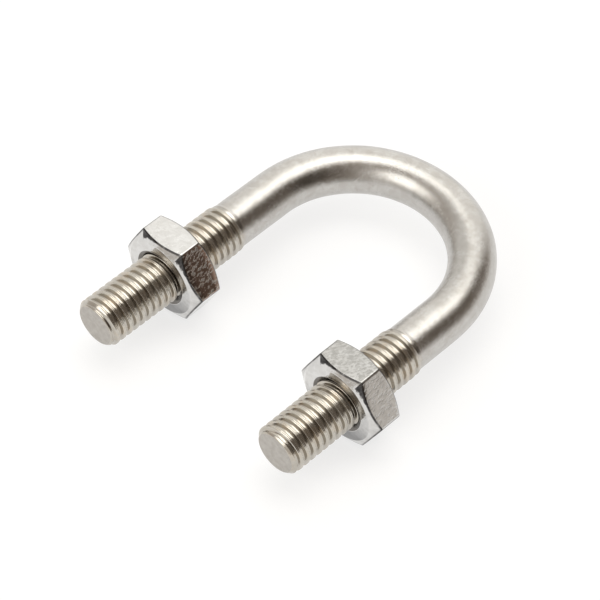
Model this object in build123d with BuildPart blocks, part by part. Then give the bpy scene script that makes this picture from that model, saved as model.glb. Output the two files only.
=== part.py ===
from build123d import *
from math import floor, radians, tan
import os

os.makedirs("parts", exist_ok=True)

# ---------------------------------------------------------------------------
# Stainless U-bolt, M8 x 1.25, for a 3/4 in (26.9 mm) pipe, with two hex nuts.
# Millimetres.  The U lies flat in the XY plane.  Origin: centre of the bend,
# which is also the centre line of the pipe it holds (pipe runs along Z).
# The bend points to +Y, the two legs run parallel toward -Y.
# "left" is the leg at -X, "right" is the leg at +X.
# ---------------------------------------------------------------------------

# --- rod and bend ---
seat_r = 13.5            # inner radius of the bend (pipe seat)
shank_d = 7.25           # plain rod, close to the pitch diameter of the thread
leg_x = seat_r + shank_d / 2          # half the leg spacing, 17.125
leg_end_left = -36.0     # Y of the end face, left leg
leg_end_right = -33.8    # Y of the end face, right leg
runout_left = -8.8       # Y where the rolled thread gives way to plain rod
runout_right = -7.4

# --- M8 x 1.25 rolled thread ---
pitch = 1.25
crest_r = 3.95           # external crest radius
root_r = 3.20            # external root radius
crest_flat = 0.16
root_flat = 0.30
thread_stock = 27.4      # threaded length before the legs are cut to length
fade = 1.5               # length over which the crests fade to the plain rod
rod_spin = 20.0          # angle about the leg at which the rod's groove starts
end_face_r = 3.30        # flat left on the leg end inside the 45 degree chamfer

# --- M8 hex nuts, 14 mm wrench size ---
across_flats = 13.8
nut_m = 5.5              # thickness
nut_face_d = 12.4        # flat face inside the chamfer
nut_chamfer_deg = 30.0
nut_corner_r = 0.45      # rounding of the six upright edges
nut_minor_r = 3.33       # internal thread, minor radius
nut_major_r = 4.05       # internal thread, root radius (clears the rod crest)
nut_sink_d = 9.0         # countersink mouth
nut_sink_deg = 30.0      # countersink slope from the face
flank_gap = 0.05         # axial play on each thread flank
tap_start = -2.275       # lead of the tapped groove at the face, before the nut is turned
tap_spin = 137.0
nut_front_left = -23.2   # Y of the face toward the leg end
nut_front_right = -21.6
nut_turn_left = 2.3      # degrees the hex is turned about its leg
nut_turn_right = 3.7


def half_open(r):
    # half width of the external thread groove at radius r
    w0 = root_flat / 2
    w1 = (pitch - crest_flat) / 2
    return w0 + (w1 - w0) * (r - root_r) / (crest_r - root_r)


def groove(z0, turns, r_in, w_in, r_out, w_out, spin):
    # helical trapezoid, half widths w_in at r_in and w_out at r_out;
    # it starts at the angle spin, with the same lead as one started at zero
    path = Pos(0, 0, z0 + pitch * spin / 360) * Helix(
        pitch=pitch, height=turns * pitch, radius=crest_r)
    with BuildPart() as g:
        with BuildLine():
            add(path)
        with BuildSketch(Plane(origin=path @ 0, x_dir=(1, 0, 0), z_dir=(0, 1, 0))):
            with BuildLine():
                Polyline(
                    (r_in - crest_r, -w_in),
                    (r_out - crest_r, -w_out),
                    (r_out - crest_r, w_out),
                    (r_in - crest_r, w_in),
                    close=True,
                )
            make_face()
        sweep(is_frenet=True)
    return Rot(0, 0, spin) * g.part


def leg_plane(x, y):
    # local z runs along world +Y, local y along world +Z
    return Plane(origin=(x, y, 0), x_dir=(-1, 0, 0), z_dir=(0, 1, 0))


def threaded_leg(length):
    # local z = 0 is the start of the uncut stock; the thread runs out at
    # z = thread_stock and the finished end face is at thread_stock - length
    tail = 0.6
    out_r = crest_r + 0.10
    end = thread_stock - length
    with BuildPart() as leg:
        Cylinder(crest_r, thread_stock + tail, align=(Align.CENTER, Align.CENTER, Align.MIN))
        add(
            groove(-pitch, (thread_stock + tail + 2 * pitch) / pitch, root_r,
                   half_open(root_r), out_r, half_open(out_r), rod_spin),
            mode=Mode.SUBTRACT,
        )
        # cut to length, with the lead chamfer on the end
        with BuildSketch(Plane.XZ):
            with BuildLine():
                Polyline((0, -1), (crest_r + 0.5, -1),
                         (crest_r + 0.5, end + crest_r + 0.5 - end_face_r),
                         (end_face_r, end), (0, end), close=True)
            make_face()
        revolve(axis=Axis.Z, mode=Mode.SUBTRACT)
        # crests fade down to the plain rod
        with BuildSketch(Plane.XZ):
            with BuildLine():
                Polyline((crest_r + 0.5, thread_stock - fade - 0.5), (crest_r, thread_stock - fade),
                         (shank_d / 2, thread_stock), (0, thread_stock),
                         (0, thread_stock + tail + 1),
                         (crest_r + 0.5, thread_stock + tail + 1), close=True)
            make_face()
        revolve(axis=Axis.Z, mode=Mode.SUBTRACT)
    return leg.part


def hex_nut(turn, mesh):
    # local z = 0 is the face toward the leg end; the tapped hole is turned by
    # mesh degrees so that its groove sits on the rod's thread ridge, while the
    # hexagon stands at turn degrees
    fr = nut_face_d / 2
    far = across_flats * 0.62
    depth = (far - fr) * tan(radians(nut_chamfer_deg))
    w_maj = (pitch - 2 * half_open(crest_r)) / 2 + flank_gap
    w_min = (pitch - 2 * half_open(nut_minor_r)) / 2 + flank_gap
    slope = (w_min - w_maj) / (crest_r - nut_minor_r)
    w_in = w_min + slope * 0.15
    w_out = w_maj - slope * (nut_major_r - crest_r)
    with BuildPart() as nut:
        with BuildSketch(Plane.XY):
            hexagon = RegularPolygon(radius=across_flats / 2, side_count=6, major_radius=False,
                                     rotation=turn - mesh)
            fillet(hexagon.vertices(), radius=nut_corner_r)
        extrude(amount=nut_m)
        with BuildSketch(Plane.XZ):
            with BuildLine():
                Polyline((0, 0), (fr, 0), (far, depth), (far, nut_m - depth),
                         (fr, nut_m), (0, nut_m), close=True)
            make_face()
        revolve(axis=Axis.Z, mode=Mode.INTERSECT)
        with Locations((0, 0, -0.5)):
            Cylinder(nut_minor_r, nut_m + 1, align=(Align.CENTER, Align.CENTER, Align.MIN),
                     mode=Mode.SUBTRACT)
        add(groove(tap_start, 8.6, nut_minor_r - 0.15, w_in, nut_major_r, w_out, tap_spin),
            mode=Mode.SUBTRACT)
        sink = nut_sink_d / 2
        fall = tan(radians(nut_sink_deg))
        for z, s in ((0, 1), (nut_m, -1)):
            low = z + s * (sink - nut_minor_r + 0.1) * fall
            with BuildSketch(Plane.XZ):
                with BuildLine():
                    Polyline((0, z - s * 0.3 * fall), (sink + 0.3, z - s * 0.3 * fall),
                             (nut_minor_r - 0.1, low), (0, low), close=True)
                make_face()
            revolve(axis=Axis.Z, mode=Mode.SUBTRACT)
    return Rot(0, 0, mesh) * nut.part


# --- rod: plain U, then the two threaded ends ---
with BuildPart() as u_rod:
    with BuildLine() as centre_line:
        Line((-leg_x, runout_left, 0), (-leg_x, 0, 0))
        ThreePointArc((-leg_x, 0, 0), (0, leg_x, 0), (leg_x, 0, 0))
        Line((leg_x, 0, 0), (leg_x, runout_right, 0))
    with BuildSketch(Plane(origin=(-leg_x, runout_left, 0), x_dir=(-1, 0, 0), z_dir=(0, 1, 0))):
        Circle(shank_d / 2)
    sweep(path=centre_line.line)
    add(leg_plane(-leg_x, runout_left - thread_stock)
        * threaded_leg(runout_left - leg_end_left))
    add(leg_plane(leg_x, runout_right - thread_stock)
        * threaded_leg(runout_right - leg_end_right))


def mesh_angle(runout, nut_front):
    # turn that brings the tapped groove onto the rod's thread ridge
    lead = nut_front + tap_start - (runout - thread_stock) + pitch / 2
    return (lead / pitch - floor(lead / pitch)) * 360


with BuildPart() as nut_left:
    add(leg_plane(-leg_x, nut_front_left)
        * hex_nut(-nut_turn_left, mesh_angle(runout_left, nut_front_left)))

with BuildPart() as nut_right:
    add(leg_plane(leg_x, nut_front_right)
        * hex_nut(-nut_turn_right, mesh_angle(runout_right, nut_front_right)))

for label, body in (("u_rod", u_rod), ("nut_left", nut_left), ("nut_right", nut_right)):
    body.part.label = label
    export_step(body.part, "parts/" + label + ".step")
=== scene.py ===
import math

import bpy
import numpy as np
from mathutils import Matrix, Vector


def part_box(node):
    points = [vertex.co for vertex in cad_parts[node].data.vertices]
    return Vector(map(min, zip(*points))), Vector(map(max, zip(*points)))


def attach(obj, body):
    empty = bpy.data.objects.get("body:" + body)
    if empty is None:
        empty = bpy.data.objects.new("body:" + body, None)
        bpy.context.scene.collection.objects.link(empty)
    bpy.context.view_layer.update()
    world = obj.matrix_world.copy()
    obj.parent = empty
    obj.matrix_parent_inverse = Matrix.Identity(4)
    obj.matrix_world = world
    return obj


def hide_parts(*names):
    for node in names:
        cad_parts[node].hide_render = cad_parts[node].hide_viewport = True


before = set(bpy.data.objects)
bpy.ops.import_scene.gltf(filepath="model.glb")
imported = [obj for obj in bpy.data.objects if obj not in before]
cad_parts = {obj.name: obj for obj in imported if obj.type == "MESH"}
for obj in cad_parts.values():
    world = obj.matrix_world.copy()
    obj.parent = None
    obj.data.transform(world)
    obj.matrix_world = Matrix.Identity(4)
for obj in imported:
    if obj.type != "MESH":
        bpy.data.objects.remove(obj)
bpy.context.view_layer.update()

MM = 0.001

# ---------------------------------------------------------------------------
# sizes, in mm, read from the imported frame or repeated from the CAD
# ---------------------------------------------------------------------------
rod_lo, rod_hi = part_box("u_rod")
nl_lo, nl_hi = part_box("nut_left")
nr_lo, nr_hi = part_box("nut_right")

PITCH = 1.25
CREST = 3.95
SHANK = 3.625
END_R = 3.28
LEG_X = 17.125
RUN_L, RUN_R = -8.8, -7.4
END_L = rod_lo.y / MM
END_Rt = -33.8
STOCK = 27.4
AF = 13.8
NUT_M = (nl_hi.y - nl_lo.y) / MM
NUT_Y_L = nl_lo.y / MM
NUT_Y_R = nr_lo.y / MM
TURN_L, TURN_R = 2.8, 3.05
FACE_R = 6.2
CHAMF = math.tan(math.radians(30))
MAJOR = 4.05
SINK_R = 4.6


# ---------------------------------------------------------------------------
# mesh helpers
# ---------------------------------------------------------------------------
def new_mesh(name, verts, faces, attrs=None):
    me = bpy.data.meshes.new(name)
    me.from_pydata([tuple(v) for v in (np.asarray(verts) * MM)], [], faces)
    me.update()
    for key, (kind, data) in (attrs or {}).items():
        a = me.attributes.new(key, kind, "POINT")
        if kind == "FLOAT_VECTOR":
            a.data.foreach_set("vector", np.asarray(data, np.float32).ravel())
        else:
            a.data.foreach_set("value", np.asarray(data, np.float32).ravel())
    ob = bpy.data.objects.new(name, me)
    bpy.context.scene.collection.objects.link(ob)
    return ob


def weld(verts, faces, datas, tol=1e-3):
    """merges equal points, drops faces that have no area"""
    verts = np.asarray(verts, float)
    key = np.round(verts / tol).astype(np.int64)
    _, first, inv = np.unique(key, axis=0, return_index=True, return_inverse=True)
    inv = inv.ravel()
    out = []
    for f in faces:
        g = []
        for i in f:
            j = int(inv[i])
            if not g or g[-1] != j:
                g.append(j)
        if len(g) > 1 and g[0] == g[-1]:
            g.pop()
        if len(set(g)) == len(g) and len(g) > 2:
            out.append(g)
    return verts[first], out, [np.asarray(d)[first] for d in datas]


def shade(ob, mats):
    me = ob.data
    me.polygons.foreach_set("use_smooth", [True] * len(me.polygons))
    for m in mats:
        me.materials.append(m)
    me.update()


# ---------------------------------------------------------------------------
# rolled thread
# ---------------------------------------------------------------------------
# half profile of the external thread: distance from the groove centre, radius
HALF = np.array([
    (0.000, 3.420), (0.090, 3.421), (0.150, 3.424), (0.180, 3.436), (0.205, 3.474),
    (0.240, 3.550), (0.280, 3.640), (0.320, 3.732), (0.360, 3.824), (0.385, 3.880),
    (0.402, 3.912), (0.420, 3.934), (0.445, 3.946), (0.500, 3.950), (0.575, 3.950),
    (0.600, 3.940), (0.625, 3.915)])


def smooth01(x):
    x = np.clip(x, 0.0, 1.0)
    return x * x * (3 - 2 * x)


def ridge_noise(th, z, seed):
    """small unevenness of a rolled crest, in mm"""
    a = np.sin(3 * th + 0.7 * z + seed) * 0.5 + np.sin(7 * th - 1.9 * z + 2.1 * seed) * 0.3
    b = np.sin(13 * th + 5.3 * z + 0.3 * seed) * 0.2
    return a + b


def thread_r(w, th, z, z_end, z_ro, seed):
    """outer radius of a leg; w is the distance from the groove centre"""
    base = np.interp(w, HALF[:, 0], HALF[:, 1])
    crestness = smooth01((base - 3.66) / 0.25)
    base = base + 0.012 * ridge_noise(th, z, seed) * crestness - 0.010 * crestness
    # the thread fades into the plain rod
    root_fade = smooth01((z - (z_ro - 2.3)) / 2.1)
    crest_fade = smooth01((z - (z_ro - 1.7)) / 1.7)
    fade = np.where(base < SHANK, root_fade, crest_fade)
    r = base + (SHANK - base) * fade
    # lead chamfer, its edge slightly broken
    d = z - z_end
    lim = END_R + 0.90 * d - 0.07 * np.exp(-np.maximum(d, 0) / 0.04)
    k = 0.03
    m = np.minimum(r, lim)
    soft = m - k * 0.25 * np.clip(1 - np.abs(r - lim) / k, 0, 1) ** 2
    return np.minimum(soft, m)


def leg_mesh(N, z_end, z_ro, seed, groove0):
    """threaded leg in leg space: local z from the end face, angle th"""
    M = 2 * (len(HALF) - 1)
    w_side = np.concatenate([HALF[:, 0], (PITCH - HALF[::-1, 0])[1:-1]])     # 0..pitch
    k0 = int(math.floor((z_end - groove0) / PITCH)) - 2
    k1 = int(math.ceil((z_ro - groove0) / PITCH)) + 1
    rows = (k1 - k0) * M
    th = 2 * np.pi * np.arange(N) / N
    i = np.arange(rows)
    z_row = groove0 + (k0 + i // M) * PITCH + w_side[i % M]
    Z = z_row[:, None] + PITCH * th[None, :] / (2 * np.pi)
    wd = w_side[i % M]
    W = np.minimum(wd, PITCH - wd)[:, None] * np.ones((1, N))
    Zc = np.clip(Z, z_end, z_ro)
    # keep the profile true where a point was clamped
    ph = (Zc - groove0 - PITCH * th[None, :] / (2 * np.pi)) / PITCH
    ph = ph - np.floor(ph)
    Wc = np.minimum(ph, 1 - ph) * PITCH
    W = np.where(Zc == Z, W, Wc)
    TH = np.ones((rows, 1)) * th[None, :]
    R = thread_r(W, TH, Zc, z_end, z_ro, seed)
    faces = []
    idx = lambda a, b: a * N + b
    for a in range(rows - 1):
        if z_row[a + 1] < z_end - PITCH - 0.2 or z_row[a] > z_ro + 0.01:
            continue
        for b in range(N - 1):
            if Z[a, b] > z_ro and Z[a, b + 1] > z_ro:
                continue
            if Z[a + 1, b] < z_end and Z[a + 1, b + 1] < z_end:
                continue
            faces.append((idx(a, b), idx(a, b + 1), idx(a + 1, b + 1), idx(a + 1, b)))
        if a + M + 1 < rows:
            b = N - 1
            if not (Z[a, b] > z_ro and Z[a + M, 0] > z_ro) and not (
                    Z[a + 1, b] < z_end and Z[a + 1 + M, 0] < z_end):
                faces.append((idx(a, b), idx(a + M, 0), idx(a + 1 + M, 0), idx(a + 1, b)))
    return Zc, TH, R, faces


def to_world(x_leg, y0, z, th, r):
    """leg space to world: local x is -X, local y is +Z, local z is +Y"""
    return np.stack([x_leg - r * np.cos(th), y0 + z, r * np.sin(th)], -1)


N = 96
verts, faces = [], []
co, depth, rolled = [], [], []       # rod coordinate (around, around, along), thread depth, threaded or plain


def add_block(P, F, C, D, T):
    base = sum(len(v) for v in verts)
    verts.append(P.reshape(-1, 3))
    co.append(C.reshape(-1, 3))
    depth.append(D.ravel())
    rolled.append(T.ravel())
    faces.extend([tuple(base + i for i in f) for f in F])


ARC = math.pi * LEG_X
# arc length runs from the left leg end, up, round the bend and down the right leg


def cap(x_leg, y_end, s_end, sign, seed):
    """the flat, slightly uneven end face, as rings in to a centre point"""
    th = 2 * np.pi * np.arange(N) / N
    rings = [3.21, 3.15, 3.06, 2.6, 2.0, 1.3, 0.65, 0.2]
    P, C = [], []
    for k, r in enumerate(rings):
        z = -0.035 * smooth01(min(1.0, (3.21 - r) / 0.12)) + 0.012 * (1 - (r / 3.2) ** 2)
        zz = np.full(N, z) + (0.010 * np.sin(2 * th + seed) + 0.006 * np.sin(5 * th + 1.3 * seed)) * min(1, (3.21 - r)) * (r / 3.2)
        if k == 0:
            zz = np.zeros(N)
        P.append(to_world(x_leg, y_end, zz, th, np.full(N, r)))
        C.append(np.stack([r * np.cos(th), r * np.sin(th), np.full(N, s_end)], -1))
    P = np.concatenate(P)
    C = np.concatenate(C)
    F = []
    for k in range(len(rings) - 1):
        for b in range(N):
            c = (b + 1) % N
            F.append((k * N + b, (k + 1) * N + b, (k + 1) * N + c, k * N + c))
    P = np.vstack([P, to_world(x_leg, y_end, np.array([-0.02]), np.array([0.0]), np.array([0.0]))])
    C = np.vstack([C, [[0, 0, s_end]]])
    k = len(rings) - 1
    for b in range(N):
        F.append((k * N + b, len(P) - 1, k * N + (b + 1) % N))
    return P, F, C, np.full(len(P), 0.5)


for x_leg, y_end, y_ro, seed, side in ((-LEG_X, END_L, RUN_L, 1.3, 0), (LEG_X, END_Rt, RUN_R, 4.1, 1)):
    y0 = y_ro - STOCK
    z_end = y_end - y0
    z_ro = STOCK
    Z, TH, R, F = leg_mesh(N, z_end, z_ro, seed, -PITCH)
    P = to_world(x_leg, y0, Z, TH, R)
    if side == 0:
        S = P[..., 1] - RUN_L
        C = np.stack([np.cos(TH) * R, np.sin(TH) * R, S], -1)
    else:
        S = -RUN_L + ARC - P[..., 1]
        C = np.stack([-np.cos(TH) * R, np.sin(TH) * R, S], -1)
    D = np.clip((CREST - R) / (CREST - 3.42), 0, 1)
    # depth means nothing on the plain rod: fade it out there
    D = D * (1 - smooth01((Z - (z_ro - 2.4)) / 2.0))
    add_block(P, F, C, D, 1 - smooth01((Z - (z_ro - 1.6)) / 1.6))
    Pc, Fc, Cc, Dc = cap(x_leg, y_end, S.min() if side == 0 else S.max(), 1 if side == 0 else -1, seed)
    add_block(Pc, Fc, Cc, Dc * 0, Dc * 0 + 1)

# plain rod: straight, bend, straight
stations = list(np.linspace(0, -RUN_L, 14)[:-1])
stations += [-RUN_L + a for a in np.linspace(0, ARC, 121)[:-1]]
stations += [-RUN_L + ARC + a for a in np.linspace(0, -RUN_R, 12)]
th = 2 * np.pi * np.arange(N) / N
P, C = [], []
for s in stations:
    if s <= -RUN_L:
        c, out = np.array([-LEG_X, RUN_L + s, 0]), np.array([-1.0, 0, 0])
    elif s <= -RUN_L + ARC:
        a = math.pi - (s + RUN_L) / LEG_X
        c, out = np.array([LEG_X * math.cos(a), LEG_X * math.sin(a), 0]), np.array([math.cos(a), math.sin(a), 0])
    else:
        c, out = np.array([LEG_X, -(s + RUN_L - ARC), 0]), np.array([1.0, 0, 0])
    total = -RUN_L + ARC - RUN_R
    ends = smooth01(s / 2.0) * smooth01((total - s) / 2.0)
    wob = 0.010 * np.sin(2 * th + 0.31 * s) + 0.006 * np.sin(3 * th - 0.55 * s + 1.0) + 0.005 * math.sin(1.1 * s)
    r = SHANK + ends * (wob - 0.008)
    P.append(c + r[:, None] * (np.cos(th)[:, None] * out + np.sin(th)[:, None] * np.array([0, 0, 1.0])))
    C.append(np.stack([r * np.cos(th), r * np.sin(th), np.full(N, s)], -1))
F = []
for a in range(len(stations) - 1):
    for b in range(N):
        c = (b + 1) % N
        F.append((a * N + b, a * N + c, (a + 1) * N + c, (a + 1) * N + b))
P = np.array(P)
C = np.array(C)
add_block(P, F, C, np.zeros(P.shape[:2]), np.zeros(P.shape[:2]))

V, FF, (CO, DP, TR) = weld(np.concatenate(verts), faces, [np.concatenate(co), np.concatenate(depth), np.concatenate(rolled)])
rod = new_mesh("rod_body", V, FF, {"rodco": ("FLOAT_VECTOR", CO), "depth": ("FLOAT", DP), "thread": ("FLOAT", TR)})


# ---------------------------------------------------------------------------
# hex nut
# ---------------------------------------------------------------------------
def hex_radius(delta, rho):
    """radius of a hexagon with rounded corners, delta = angle from the flat's normal"""
    t0 = (AF / 2 - rho) * math.tan(math.radians(30))
    t = AF / 2 * math.tan(abs(delta))
    if t <= t0:
        return AF / 2 / math.cos(delta)
    Rc = (AF / 2 - rho) / math.cos(math.radians(30))
    beta = math.radians(30) - abs(delta)
    return Rc * math.cos(beta) + math.sqrt(max(0.0, rho ** 2 - (Rc * math.sin(beta)) ** 2))


def nut_mesh(name, x_leg, y_face, y_ro, turn, dull_flat, painted_brown_reflection_flat):
    rho = 0.45
    half = np.radians(np.concatenate([np.linspace(0, 26.0, 13), [27.0, 27.6, 28.1, 28.5, 28.9, 29.3, 29.65]]))
    deltas = np.concatenate([-half[::-1], half[1:]])
    angles, radii = [], []
    for k in range(6):
        for d in deltas:
            angles.append(math.radians(-turn + 30 + 60 * k) + d)
            radii.append(hex_radius(d, rho))
        angles.append(math.radians(-turn + 60 + 60 * k))
        radii.append(hex_radius(math.radians(30), rho))
    th = np.array(angles)
    rh = np.array(radii)
    n = len(th)
    m = NUT_M
    rows, edges, outs = [], [], []  # each row: r array, z array, region; nearness to the rounded edge; way out on the chamfer

    def row(r, z, reg, edge=0.0, out=0.0):
        rows.append((np.broadcast_to(np.asarray(r, float), (n,)).copy(), np.broadcast_to(np.asarray(z, float), (n,)).copy(), reg))
        edges.append(edge)
        outs.append(out)

    d = (rh - FACE_R) * CHAMF          # depth of the chamfer at the side
    # front face, out from the countersink
    for r in (SINK_R + 0.10, 4.8, 5.1, 5.5, FACE_R - 0.12, FACE_R - 0.04):
        row(r, 0.0, 0)
    row(FACE_R + 0.02, 0.010, 0)
    # chamfer cone
    row(FACE_R + 0.08, 0.08 * CHAMF, 1)
    for f in (0.25, 0.5, 0.75):
        row(FACE_R + 0.08 + (rh - FACE_R - 0.26) * f, (0.08 + (rh - FACE_R - 0.26) * f) * CHAMF, 1, 0.0, f)
    e = np.minimum(0.14, d * 0.32)
    # rounded edge between chamfer and flat: a short curve with its corner at (rh, d)
    bez = lambda t, y, sg: (rh - (1 - t) ** 2 * e * 1.3, y + sg * (t * t * e - (1 - t) ** 2 * e * 1.3 * CHAMF))
    for t in (0.0, 0.2, 0.4, 0.6, 0.8):
        row(*bez(t, d, 1), 1, 1.0 - abs(t - 0.4) / 0.6, 1.0)
    row(rh, d + e, 2)
    for f in (0.2, 0.4, 0.6, 0.8):
        row(rh, d + e + (m - 2 * d - 2 * e) * f, 2)
    row(rh, m - d - e, 2)
    for t in (0.8, 0.6, 0.4, 0.2, 0.0):
        row(*bez(t, m - d, -1), 1, 1.0 - abs(t - 0.4) / 0.6, 1.0)
    for f in (0.75, 0.5, 0.25):
        row(FACE_R + 0.08 + (rh - FACE_R - 0.26) * f, m - (0.08 + (rh - FACE_R - 0.26) * f) * CHAMF, 1, 0.0, f)
    row(FACE_R + 0.08, m - 0.08 * CHAMF, 1)
    row(FACE_R + 0.02, m - 0.010, 0)
    for r in (FACE_R - 0.04, FACE_R - 0.12, 5.5, 5.1, 4.8, SINK_R + 0.10):
        row(r, m, 0)
    # bore: countersink and tapped thread
    groove0 = (y_ro - STOCK) - PITCH + PITCH / 2 - y_face    # centre of the tapped groove at th = 0
    zs = np.concatenate([[0.02, 0.05], np.linspace(0.1, m - 0.1, 116), [m - 0.05, m - 0.02]])
    for z in zs[::-1]:
        ph = (z - groove0 - PITCH * th / (2 * np.pi)) / PITCH
        ph = ph - np.floor(ph)
        w = np.minimum(ph, 1 - ph) * PITCH
        r = np.interp(w, [0, 0.27, 0.30, 0.50, 0.54, 0.625], [MAJOR, MAJOR, MAJOR - 0.07, 3.54, 3.522, 3.52])
        sink = SINK_R - min(z, m - z) / CHAMF
        lip = 0.05 * math.exp(-min(z, m - z) / 0.03)
        row(np.maximum(r, sink + lip), z, 3)
    R = np.array([r for r, z, g in rows])
    Z = np.array([z for r, z, g in rows])
    TH = np.ones((len(rows), 1)) * th[None, :]
    P = to_world(x_leg, y_face, Z, TH, R)
    F, reg = [], []
    L = len(rows)
    for a in range(L):
        b = (a + 1) % L
        for i in range(n):
            j = (i + 1) % n
            F.append((a * n + i, b * n + i, b * n + j, a * n + j))
    region = np.concatenate([np.full(n, g) for r, z, g in rows])
    past = (th + math.radians(turn)) % math.radians(60)         # angle past the last corner
    corner = np.minimum(past, math.radians(60) - past)
    flat = np.floor((th + math.radians(turn)) / math.radians(60) + 1e-6).astype(int) % 6     # 1 is the top flat, 2 the next
    # strength of the painted dark reflection wedge on each flat
    painted_reflection_strength = np.array([0.35, 1.0, 1.0, 0.08, 0.30, 0.35])[flat]
    local = np.stack([R * np.cos(TH), R * np.sin(TH), Z], -1).reshape(-1, 3)
    ob = new_mesh(name, P.reshape(-1, 3), F, {
        "nutco": ("FLOAT_VECTOR", local),
        "region": ("FLOAT", region),
        "corner": ("FLOAT", np.tile(corner, L)),
        "past": ("FLOAT", np.tile(past, L)),
        "painted_reflection_strength": ("FLOAT", np.tile(painted_reflection_strength, L)),
        "dull": ("FLOAT", np.tile((flat == dull_flat) * 1.0, L)),
        "painted_brown_reflection": ("FLOAT", np.tile((flat == painted_brown_reflection_flat) * 1.0, L)),
        "out": ("FLOAT", np.repeat(outs, n)),
        "edge": ("FLOAT", np.repeat(edges, n))})
    return ob


nut_l = nut_mesh("hex_nut_left", -LEG_X, NUT_Y_L, RUN_L, TURN_L, -1, 2)
nut_r = nut_mesh("hex_nut_right", LEG_X, NUT_Y_R, RUN_R, TURN_R, 1, -1)


# ---------------------------------------------------------------------------
# materials
# ---------------------------------------------------------------------------
class Nodes:
    def __init__(self, name):
        self.mat = bpy.data.materials.new(name)
        self.mat.use_nodes = True
        self.t = self.mat.node_tree
        self.t.nodes.clear()
        self.out = self.t.nodes.new("ShaderNodeOutputMaterial")
        self.bsdf = self.t.nodes.new("ShaderNodeBsdfPrincipled")
        self.link(self.bsdf.outputs[0], self.out.inputs[0])

    def link(self, a, b):
        self.t.links.new(a, b)

    def node(self, kind, **kw):
        n = self.t.nodes.new(kind)
        for k, v in kw.items():
            setattr(n, k, v)
        return n

    def put(self, sock, v):
        if hasattr(v, "is_linked") or isinstance(v, bpy.types.NodeSocket):
            self.link(v, sock)
        else:
            sock.default_value = v

    def attr(self, name):
        return self.node("ShaderNodeAttribute", attribute_name=name)

    def scale(self, vec, s):
        n = self.node("ShaderNodeVectorMath", operation="MULTIPLY")
        self.put(n.inputs[0], vec)
        n.inputs[1].default_value = s
        return n.outputs[0]

    def noise(self, vec, scale, detail=4.0, rough=0.6, dist=0.0):
        n = self.node("ShaderNodeTexNoise")
        self.put(n.inputs["Vector"], vec)
        n.inputs["Scale"].default_value = scale
        n.inputs["Detail"].default_value = detail
        n.inputs["Roughness"].default_value = rough
        n.inputs["Distortion"].default_value = dist
        return n.outputs["Fac"]

    def math(self, op, a, b=0.0, clamp=False):
        n = self.node("ShaderNodeMath", operation=op, use_clamp=clamp)
        self.put(n.inputs[0], a)
        self.put(n.inputs[1], b)
        return n.outputs[0]

    def ramp(self, x, a, b, lo=0.0, hi=1.0):
        n = self.node("ShaderNodeMapRange", interpolation_type="SMOOTHSTEP")
        self.put(n.inputs["Value"], x)
        n.inputs["From Min"].default_value = a
        n.inputs["From Max"].default_value = b
        n.inputs["To Min"].default_value = lo
        n.inputs["To Max"].default_value = hi
        return n.outputs["Result"]

    def mix(self, f, a, b):
        n = self.node("ShaderNodeMix", data_type="RGBA")
        self.put(n.inputs["Factor"], f)
        for s, v in (("A", a), ("B", b)):
            sock = [i for i in n.inputs if i.name == s and i.type == "RGBA"][0]
            self.put(sock, v if not isinstance(v, tuple) else (*v, 1.0)[:4])
        return [o for o in n.outputs if o.type == "RGBA"][0]

    def bump(self, h, strength, dist, normal=None):
        n = self.node("ShaderNodeBump")
        n.inputs["Strength"].default_value = strength
        n.inputs["Distance"].default_value = dist
        self.put(n.inputs["Height"], h)
        if normal is not None:
            self.put(n.inputs["Normal"], normal)
        return n.outputs[0]


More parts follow.
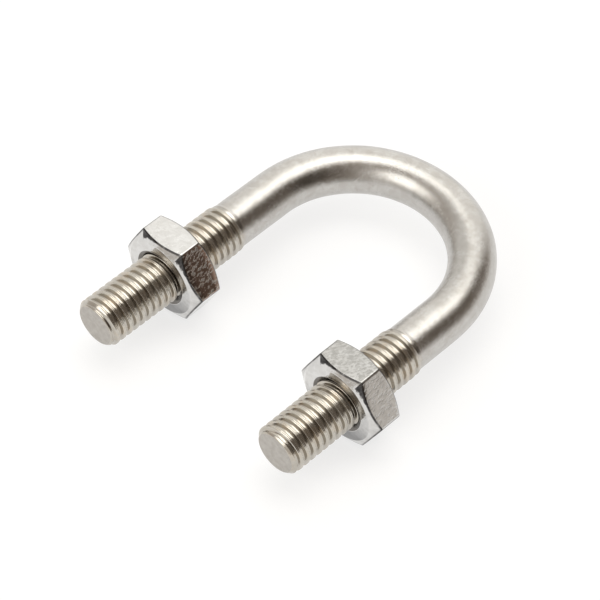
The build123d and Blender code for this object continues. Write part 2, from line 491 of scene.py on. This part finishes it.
def rod_steel():
    """cold drawn stainless: dull, finely pitted bend with long draw lines, brighter rolled crests, painted shade
    in the thread roots
    """
    k = Nodes("stainless_rod")
    b = k.bsdf
    b.inputs["Metallic"].default_value = 1.0
    v = k.attr("rodco").outputs["Vector"]
    depth = k.attr("depth").outputs["Fac"]
    thread = k.attr("thread").outputs["Fac"]
    along = k.scale(v, (1.0, 1.0, 0.045))            # stretched along the rod
    lines = k.noise(along, 9.0, 5.0, 0.65)
    fine = k.noise(along, 34.0, 3.0, 0.6)
    blot = k.noise(v, 0.55, 4.0, 0.6, 0.4)
    grain = k.noise(v, 5.4, 3.0, 0.8)
    spots = k.noise(v, 2.2, 3.0, 0.8, 0.6)
    tone = k.mix(k.ramp(blot, 0.3, 0.7), (0.497, 0.477, 0.450), (0.572, 0.557, 0.536))
    warm = k.mix(k.ramp(blot, 0.3, 0.7), (0.506, 0.472, 0.416), (0.583, 0.552, 0.498))
    straw = k.ramp(k.noise(v, 0.42, 3.0, 0.6, 0.5), 0.48, 0.66, 0.0, 0.42)
    tone = k.mix(thread, tone, k.mix(straw, warm, (0.61, 0.515, 0.405)))
    tone = k.mix(k.ramp(lines, 0.35, 0.75, 0.0, 0.30), tone, (0.40, 0.38, 0.35))
    tone = k.mix(k.math("MULTIPLY", k.ramp(spots, 0.62, 0.80), 0.25), tone, (0.30, 0.28, 0.26))
    pitted = k.math("MULTIPLY", k.ramp(k.noise(v, 5.2, 3.0, 0.8), 0.55, 0.68), k.math("SUBTRACT", 0.42, k.math("MULTIPLY", thread, 0.34)))
    tone = k.mix(pitted, tone, (0.22, 0.20, 0.18))
    # painted shade in the thread roots, darker with depth
    tone = k.mix(k.math("MULTIPLY", k.ramp(depth, 0.15, 0.5), 0.16), tone, (0.22, 0.195, 0.165))
    k.put(b.inputs["Base Color"], tone)
    plain = k.math("ADD", k.ramp(blot, 0.25, 0.8, 0.19, 0.26), k.ramp(fine, 0.3, 0.7, -0.03, 0.05))
    rolled = k.math("ADD", k.ramp(blot, 0.25, 0.8, 0.09, 0.15), k.ramp(depth, 0.2, 1.0, 0.0, 0.06))
    rough = k.math("ADD", k.math("MULTIPLY", plain, k.math("SUBTRACT", 1.0, thread)), k.math("MULTIPLY", rolled, thread))
    k.put(b.inputs["Roughness"], rough)
    h = k.math("ADD", k.math("MULTIPLY", lines, 0.6), k.math("MULTIPLY", fine, 0.4))
    h = k.math("MULTIPLY", h, k.math("SUBTRACT", 1.0, k.math("MULTIPLY", thread, 0.6)))
    n1 = k.bump(h, 0.25, 0.00002)
    pits = k.math("MULTIPLY", grain, k.math("SUBTRACT", 1.0, k.math("MULTIPLY", thread, 0.8)))
    n2 = k.bump(pits, 0.62, 0.00004, n1)
    k.put(b.inputs["Normal"], n2)
    return k.mat


def end_steel():
    """sheared leg end: dull, slightly grainy"""
    k = Nodes("stainless_cut_end")
    b = k.bsdf
    b.inputs["Metallic"].default_value = 1.0
    v = k.attr("rodco").outputs["Vector"]
    n0 = k.noise(v, 1.1, 4.0, 0.6, 0.3)
    g = k.noise(v, 7.0, 5.0, 0.7)
    k.put(b.inputs["Base Color"], k.mix(k.ramp(n0, 0.3, 0.7), (0.430, 0.403, 0.371), (0.505, 0.483, 0.451)))
    k.put(b.inputs["Roughness"], k.ramp(g, 0.2, 0.8, 0.42, 0.58))
    k.put(b.inputs["Normal"], k.bump(g, 0.4, 0.00004))
    return k.mat


def nut_steel():
    """bright nut: near mirror flats with fine scratches, a dull tapped bore with painted shade, painted dark
    reflections on the edges, corners and one flat, painted shade low on the faces
    """
    k = Nodes("stainless_nut")
    b = k.bsdf
    b.inputs["Metallic"].default_value = 1.0
    v = k.attr("nutco").outputs["Vector"]
    bore = k.ramp(k.attr("region").outputs["Fac"], 2.2, 2.8)
    turned = k.node("ShaderNodeVectorRotate", rotation_type="EULER_XYZ")
    k.put(turned.inputs["Vector"], v)
    turned.inputs["Rotation"].default_value = (0.55, 0.35, 0.4)
    s1 = k.noise(k.scale(turned.outputs[0], (0.9, 1.0, 0.12)), 2.6, 3.0, 0.6, 0.5)
    s2 = k.noise(k.scale(v, (0.35, 0.35, 1.0)), 2.2, 3.0, 0.6, 1.2)
    blot = k.noise(v, 0.8, 4.0, 0.6, 0.5)
    tone = k.mix(k.ramp(blot, 0.3, 0.7), (0.60, 0.59, 0.575), (0.68, 0.675, 0.665))
    tone = k.mix(k.ramp(s2, 0.60, 0.72, 0.0, 0.30), tone, (0.47, 0.45, 0.43))
    # painted dark reflections along the rounded edges, along the vertical corners, and in a wedge beside each
    # corner
    region = k.attr("region").outputs["Fac"]
    corner = k.attr("corner").outputs["Fac"]
    edge = k.ramp(k.attr("edge").outputs["Fac"], 0.05, 0.45)
    painted_edge_breakup = k.ramp(k.noise(v, 1.3, 3.0, 0.6), 0.32, 0.50, 0.70, 0.97)
    cham = k.math("SUBTRACT", 1.0, k.math("ABSOLUTE", k.math("SUBTRACT", region, 1.0)), True)
    wob = k.math("MULTIPLY", k.math("SUBTRACT", k.noise(v, 1.4, 4.0, 0.65, 0.8), 0.5), 0.9)
    reach = k.math("SUBTRACT", k.math("ADD", k.attr("out").outputs["Fac"], wob),
                   k.math("ADD", 0.24, k.math("MULTIPLY", k.attr("past").outputs["Fac"], 1.35)))
    painted_wedge = k.math("MULTIPLY", k.ramp(reach, -0.12, 0.18), k.math("MULTIPLY", cham, k.attr("painted_reflection_strength").outputs["Fac"]))
    painted_corner_line = k.math("MULTIPLY", k.ramp(corner, 0.008, 0.016, 1.0, 0.0), k.ramp(region, 1.4, 1.9))
    painted_corner_line = k.math("MULTIPLY", painted_corner_line, k.ramp(region, 2.1, 2.5, 0.6, 0.0))
    painted_dark_reflection = k.math("MAXIMUM", k.math("MULTIPLY", edge, painted_edge_breakup), k.math("MULTIPLY", painted_wedge, k.ramp(blot, 0.35, 0.6, 0.86, 0.98)))
    painted_dark_reflection = k.math("MAXIMUM", painted_dark_reflection, painted_corner_line)
    # one flat of each nut is marked: the left nut's carries a painted dark brown reflection broken by slanted
    # streaks, the right nut's is scuffed dull with slanted streaks
    sides = k.math("MULTIPLY", k.ramp(region, 1.6, 1.9), k.ramp(region, 2.1, 2.4, 1.0, 0.0))
    dull = k.math("MULTIPLY", k.math("MULTIPLY", k.attr("dull").outputs["Fac"], sides), k.ramp(s1, 0.36, 0.60, 0.30, 0.78))
    tone = k.mix(dull, tone, (0.30, 0.295, 0.28))
    painted_brown_reflection = k.math("MULTIPLY", k.math("MULTIPLY", k.attr("painted_brown_reflection").outputs["Fac"], sides), k.ramp(s1, 0.46, 0.62, 0.92, 0.10))
    tone = k.mix(painted_brown_reflection, tone, (0.40, 0.285, 0.235))
    # painted shade: the lower half of the face is darker
    height = k.node("ShaderNodeSeparateXYZ")
    k.put(height.inputs[0], v)
    painted_low_shade = k.math("ADD", height.outputs[1], k.math("MULTIPLY", k.math("SUBTRACT", blot, 0.5), 2.4))
    painted_low_shade = k.math("MULTIPLY", k.ramp(painted_low_shade, -4.6, 0.4, 0.72, 0.0), k.ramp(region, 0.15, 0.6, 1.0, 0.0))
    tone = k.mix(painted_low_shade, tone, (0.18, 0.18, 0.183))
    # painted dark reflections on the edges, the corners and the wedges
    tone = k.mix(painted_dark_reflection, tone, (0.030, 0.028, 0.028))
    # painted shade over the countersink and the tapped bore
    tone = k.mix(k.math("MULTIPLY", bore, 0.88), tone, (0.10, 0.088, 0.075))
    k.put(b.inputs["Base Color"], tone)
    rough = k.math("ADD", k.ramp(blot, 0.25, 0.8, 0.04, 0.08), k.ramp(s1, 0.50, 0.62, 0.0, 0.05))
    rough = k.math("ADD", rough, k.math("MULTIPLY", bore, 0.16))
    k.put(b.inputs["Roughness"], rough)
    n1 = k.bump(k.ramp(s1, 0.50, 0.60), 0.40, 0.00001)
    n2 = k.bump(s2, 0.16, 0.00002, n1)
    k.put(b.inputs["Normal"], n2)
    return k.mat


M_ROD, M_END, M_NUT = rod_steel(), end_steel(), nut_steel()
shade(rod, [M_ROD, M_END])
# the cut ends take their own finish
ends = np.zeros(len(rod.data.polygons), np.int32)
cen = np.zeros(len(rod.data.polygons) * 3, np.float32)
nor = np.zeros(len(rod.data.polygons) * 3, np.float32)
rod.data.polygons.foreach_get("center", cen)
rod.data.polygons.foreach_get("normal", nor)
cen = cen.reshape(-1, 3) / MM
nor = nor.reshape(-1, 3)
for x_leg, y_end in ((-LEG_X, END_L), (LEG_X, END_Rt)):
    rr = np.hypot(cen[:, 0] - x_leg, cen[:, 2])
    ends[(rr < 3.22) & (cen[:, 1] < y_end + 0.08)] = 1
rod.data.polygons.foreach_set("material_index", ends)
shade(nut_l, [M_NUT])
shade(nut_r, [M_NUT])

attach(rod, "rod")
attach(nut_l, "left_nut")
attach(nut_r, "right_nut")
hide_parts("u_rod")
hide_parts("nut_left")
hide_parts("nut_right")

# ---------------------------------------------------------------------------
# camera
# ---------------------------------------------------------------------------
AZ, EL, ROLL = 0.7643, 0.8773, 0.0189
DIST, FOC = 0.4078621, 2783.65
CX, CY = 355.379, 255.762
back = Vector((math.sin(AZ) * math.cos(EL), -math.cos(AZ) * math.cos(EL), math.sin(EL)))
fwd = -back
right = fwd.cross(Vector((0, 0, 1))).normalized()
up = right.cross(fwd)
r2 = math.cos(ROLL) * right + math.sin(ROLL) * up
u2 = -math.sin(ROLL) * right + math.cos(ROLL) * up
cam_pos = back * DIST - r2 * ((CX - 300) / FOC * DIST) + u2 * ((CY - 300) / FOC * DIST)
cam_data = bpy.data.cameras.new("camera")
cam = bpy.data.objects.new("camera", cam_data)
bpy.context.scene.collection.objects.link(cam)
cam_data.sensor_width = 36.0
cam_data.lens = FOC / 600 * 36.0
cam_data.clip_start, cam_data.clip_end = 0.01, 10.0
rot = Matrix((r2, u2, back)).transposed()
cam.matrix_world = Matrix.Translation(cam_pos) @ rot.to_4x4()
bpy.context.scene.camera = cam

# ---------------------------------------------------------------------------
# floor and light
# ---------------------------------------------------------------------------
fl = bpy.data.meshes.new("floor")
s = 0.6
fl.from_pydata([(-s, -s, 0), (s, -s, 0), (s, s, 0), (-s, s, 0)], [], [(0, 1, 2, 3)])
floor = bpy.data.objects.new("floor", fl)
bpy.context.scene.collection.objects.link(floor)
floor.location = (0, 0, -0.00692)
fm = bpy.data.materials.new("floor_paper")
fm.use_nodes = True
ft = fm.node_tree
ft.nodes.clear()
fo = ft.nodes.new("ShaderNodeOutputMaterial")
fd = ft.nodes.new("ShaderNodeBsdfDiffuse")
fd.inputs[0].default_value = (0.32, 0.32, 0.32, 1)
fe = ft.nodes.new("ShaderNodeEmission")
fe.inputs[0].default_value = (1, 1, 1, 1)
fe.inputs[1].default_value = 0.72
fa = ft.nodes.new("ShaderNodeAddShader")
ft.links.new(fd.outputs[0], fa.inputs[0])
ft.links.new(fe.outputs[0], fa.inputs[1])
ft.links.new(fa.outputs[0], fo.inputs[0])
fl.materials.append(fm)

world = bpy.data.worlds.new("studio")
bpy.context.scene.world = world
world.use_nodes = True
wt = world.node_tree
wt.nodes.clear()
wo = wt.nodes.new("ShaderNodeOutputWorld")
wb = wt.nodes.new("ShaderNodeBackground")
wt.links.new(wb.outputs[0], wo.inputs[0])
tc = wt.nodes.new("ShaderNodeTexCoord")


def wmath(op, a, b=0.0, clamp=False):
    n = wt.nodes.new("ShaderNodeMath")
    n.operation = op
    n.use_clamp = clamp
    for s, v in ((n.inputs[0], a), (n.inputs[1], b)):
        if isinstance(v, bpy.types.NodeSocket):
            wt.links.new(v, s)
        else:
            s.default_value = v
    return n.outputs[0]


def wstep(x, a, b):
    n = wt.nodes.new("ShaderNodeMapRange")
    n.interpolation_type = "SMOOTHSTEP"
    wt.links.new(x, n.inputs["Value"])
    n.inputs["From Min"].default_value = a
    n.inputs["From Max"].default_value = b
    n.inputs["To Min"].default_value = 0.0
    n.inputs["To Max"].default_value = 1.0
    return n.outputs["Result"]


sep = wt.nodes.new("ShaderNodeSeparateXYZ")
wt.links.new(tc.outputs["Generated"], sep.inputs[0])
dx, dy, dz = sep.outputs
elev = wmath("ARCSINE", dz)
azim = wmath("ARCTAN2", dy, dx)      # 0 along +X, pi/2 along +Y


def window(a0, a1, e0, e1, sa, se, se_top=None):
    """a soft rectangle in azimuth and elevation, in degrees"""
    r = math.radians
    top = se if se_top is None else se_top
    mid = (a0 + a1) / 2
    # wrap the azimuth about the window's middle
    d = wmath("SUBTRACT", azim, r(mid))
    d = wmath("ARCTAN2", wmath("SINE", d), wmath("COSINE", d))
    half = r((a1 - a0) / 2)
    wa = wmath("SUBTRACT", 1.0, wstep(wmath("ABSOLUTE", d), half - r(sa), half + r(sa)))
    we = wmath("MULTIPLY", wstep(elev, r(e0 - se), r(e0 + se)), wmath("SUBTRACT", 1.0, wstep(elev, r(e1 - top), r(e1 + top))))
    return wmath("MULTIPLY", wa, we)


def blend(level, mask, value):
    # level*(1-mask) + value*mask
    a = wmath("MULTIPLY", level, wmath("SUBTRACT", 1.0, mask))
    return wmath("ADD", a, wmath("MULTIPLY", mask, value))


lvl = wmath("ADD", 0.66, 0.0)
lvl = blend(lvl, window(88, 155, -25, 60, 12, 3), 1.28)       # pale wall behind, left
lvl = blend(lvl, window(155, 192, -10, 62, 8, 5), 0.98)
lvl = blend(lvl, window(192, 238, -10, 68, 8, 5), 0.62)       # dim corner, front left
lvl = blend(lvl, window(-78, -48, -10, 60, 8, 6), 0.72)
lvl = blend(lvl, window(-150, 25, 61, 84, 8, 4), 0.52)
lvl = blend(lvl, window(-48, -16, 5, 62, 9, 1.0, 6), 0.26)    # dim room to the right
lvl = blend(lvl, window(-20, 32, 5, 62, 9, 1.0, 6), 0.075)
lvl = blend(lvl, window(28, 86, 9, 60, 8, 6), 0.19)
# overhead soft box, a rectangle on the ceiling behind the part
inv = wmath("MAXIMUM", dz, 0.05)
px, py = wmath("DIVIDE", dx, inv), wmath("DIVIDE", dy, inv)


def slab(x, a, b, soft):
    return wmath("MULTIPLY", wstep(x, a - soft, a + soft), wmath("SUBTRACT", 1.0, wstep(x, b - soft, b + soft)))


ct, st = math.cos(math.radians(32)), math.sin(math.radians(32))
bu = wmath("ADD", wmath("MULTIPLY", px, ct), wmath("MULTIPLY", py, st))
bv = wmath("SUBTRACT", wmath("MULTIPLY", py, ct), wmath("MULTIPLY", px, st))
box = wmath("MULTIPLY", slab(bu, -0.37, 0.60, 0.05), slab(bv, -0.02, 0.60, 0.03))
box = wmath("MULTIPLY", box, wstep(dz, 0.3, 0.4))
lvl = blend(lvl, box, 2.9)
# round soft lamp in front of the legs
la, le = math.radians(-99), math.radians(33)
lamp_dir = (math.cos(le) * math.cos(la), math.cos(le) * math.sin(la), math.sin(le))
dot = wmath("ADD", wmath("ADD", wmath("MULTIPLY", dx, lamp_dir[0]), wmath("MULTIPLY", dy, lamp_dir[1])),
            wmath("MULTIPLY", dz, lamp_dir[2]))
lamp = wstep(dot, math.cos(math.radians(26)), math.cos(math.radians(12)))
lvl = blend(lvl, lamp, 2.75)
wt.links.new(lvl, wb.inputs["Strength"])
tint = wt.nodes.new("ShaderNodeMix")
tint.data_type = "RGBA"
wt.links.new(wstep(lvl, 0.1, 1.0), tint.inputs["Factor"])
ca, cb = [i for i in tint.inputs if i.type == "RGBA"]
ca.default_value = (1.0, 0.84, 0.70, 1)
cb.default_value = (1.0, 0.985, 0.945, 1)
wt.links.new([o for o in tint.outputs if o.type == "RGBA"][0], wb.inputs["Color"])

bpy.context.scene.view_settings.view_transform = "Standard"
